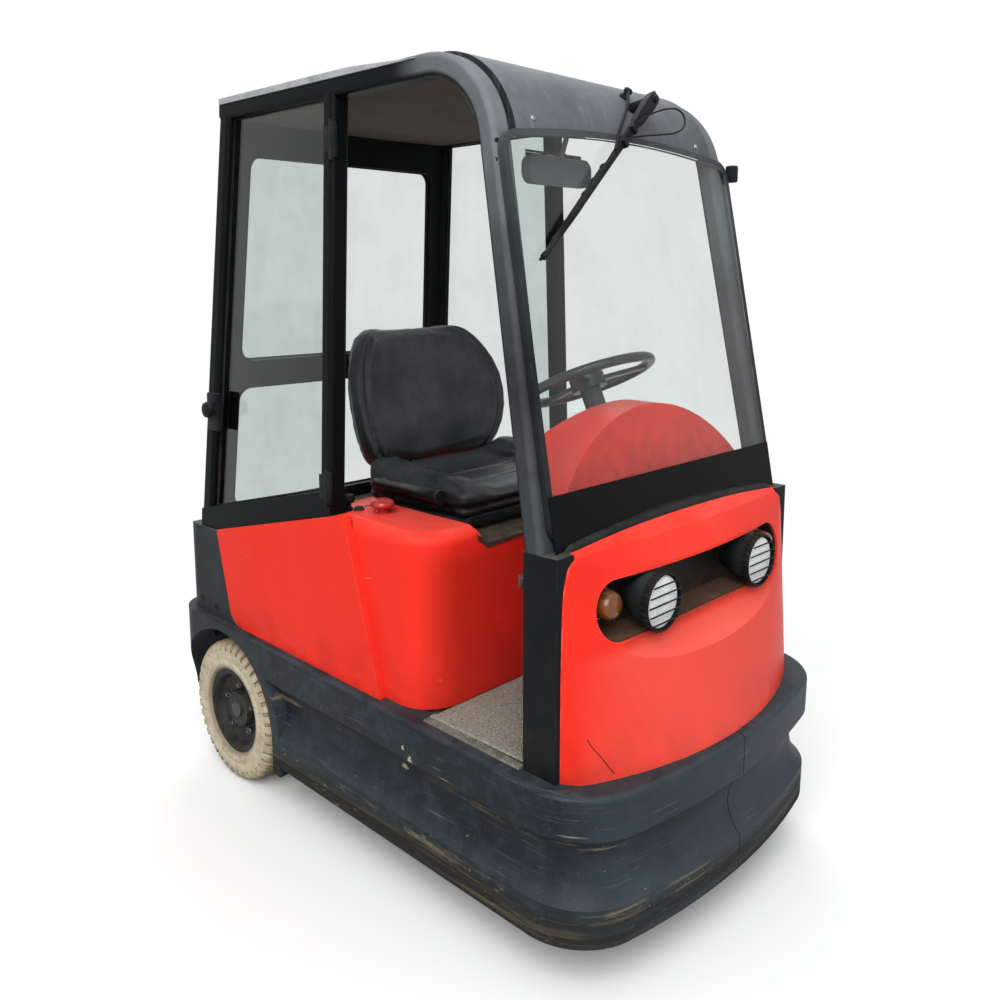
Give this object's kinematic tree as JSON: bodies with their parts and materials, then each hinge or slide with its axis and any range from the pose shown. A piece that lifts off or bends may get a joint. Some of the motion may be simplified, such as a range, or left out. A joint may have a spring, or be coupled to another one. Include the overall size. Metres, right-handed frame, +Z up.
{
  "type": "electric tow tractor",
  "caption": "Compact electric tow tractor with cab: wrap-round bumper, red moulded hood and cowl, steered front wheel, driven rear axle and tow jaw.",
  "frame": {"origin": "on the ground, in the middle of the length and the width", "axes": "+Z up, nose along -Y, driver's right-hand side towards -X"},
  "size_m": [1, 1.7996, 1.959],
  "materials": {
    "red_moulding": "glossy moulded body colour, lightly scuffed",
    "bumper_paint": "thick dark blue-grey paint, scraped along the bands",
    "cab_paint": "satin dark grey paint",
    "black_steel": "satin black paint",
    "cast_body": "painted casting",
    "battery_case": "dull grey",
    "floor_rubber": "ribbed grey mat, worn",
    "seal_rubber": "weathered black seal",
    "black_plastic": "grained black plastic",
    "seat_cover": "black vinyl",
    "glass": "clear",
    "lamp_lens": "clear lens over bright reflector",
    "amber_lens": "amber",
    "red_lens": "red",
    "stop_red": "red push button",
    "pin_steel": "bright, worn",
    "tyre_tan": "tan non-marking rubber",
    "rim_paint": "dark grey paint"
  },
  "bodies": {
    "chassis": {"chassis": "black_steel", "floor_mat": "floor_rubber", "bumper_right": "bumper_paint", "bumper_left": "bumper_paint", "rear_skirt": "bumper_paint", "rear_body": "cast_body", "side_panel_right": "red_moulding", "side_panel_left": "red_moulding", "seat_hood": "red_moulding", "battery": "battery_case", "drive_axle": "black_steel", "tow_hitch": "black_steel", "hitch_pin": "pin_steel", "front_cowl": "red_moulding", "lamp_tray": "black_plastic", "headlamps": "lamp_lens", "lamp_guards": "black_plastic", "indicators": "amber_lens", "cowl_posts": "black_steel", "dash_console": "red_moulding", "pedals": "black_steel", "steering_column": "black_plastic", "seat_frame": "black_steel", "seat_cushion": "seat_cover", "seat_back": "seat_cover", "stop_button": "stop_red", "cab_side_right": "cab_paint", "cab_side_left": "cab_paint", "quarter_glass_right": "glass", "quarter_glass_left": "glass", "rear_wall": "cab_paint", "rear_glass": "glass", "roof": "cab_paint", "windscreen_frame": "seal_rubber", "windscreen": "glass", "wiper": "black_plastic", "cab_mirror": "black_plastic", "rear_lamps": "red_lens"},
    "wheel_rear_right": {"tyre_rear_right": "tyre_tan", "rim_rear_right": "rim_paint"},
    "wheel_rear_left": {"tyre_rear_left": "tyre_tan", "rim_rear_left": "rim_paint"},
    "steer_fork": {"steer_fork": "black_steel"},
    "wheel_front": {"tyre_front": "tyre_tan", "rim_front": "rim_paint"},
    "steering_wheel": {"steering_wheel": "black_plastic"}
  },
  "joints": [
    {"name": "rear_right_spin", "type": "hinge", "parent": "chassis", "child": "wheel_rear_right", "pos_m": [-0.424, 0.51, 0.2075], "axis": [1, 0, 0], "continuous": true},
    {"name": "rear_left_spin", "type": "hinge", "parent": "chassis", "child": "wheel_rear_left", "pos_m": [0.424, 0.51, 0.2075], "axis": [1, 0, 0], "continuous": true},
    {"name": "fork_steer", "type": "hinge", "parent": "chassis", "child": "steer_fork", "pos_m": [0, -0.56, 0.2075], "axis": [0, 0, 1], "range_deg": [-80, 80]},
    {"name": "front_spin", "type": "hinge", "parent": "steer_fork", "child": "wheel_front", "pos_m": [0, -0.56, 0.2075], "axis": [1, 0, 0], "continuous": true},
    {"name": "steering_wheel_turn", "type": "hinge", "parent": "chassis", "child": "steering_wheel", "pos_m": [0, -0.43, 1.22], "axis": [0, 0.4226, 0.9063], "range_deg": [-560, 560]}
  ],
  "couplings": [
    {"joint": "steering_wheel_turn", "follows": "fork_steer", "ratio": 7}
  ]
}
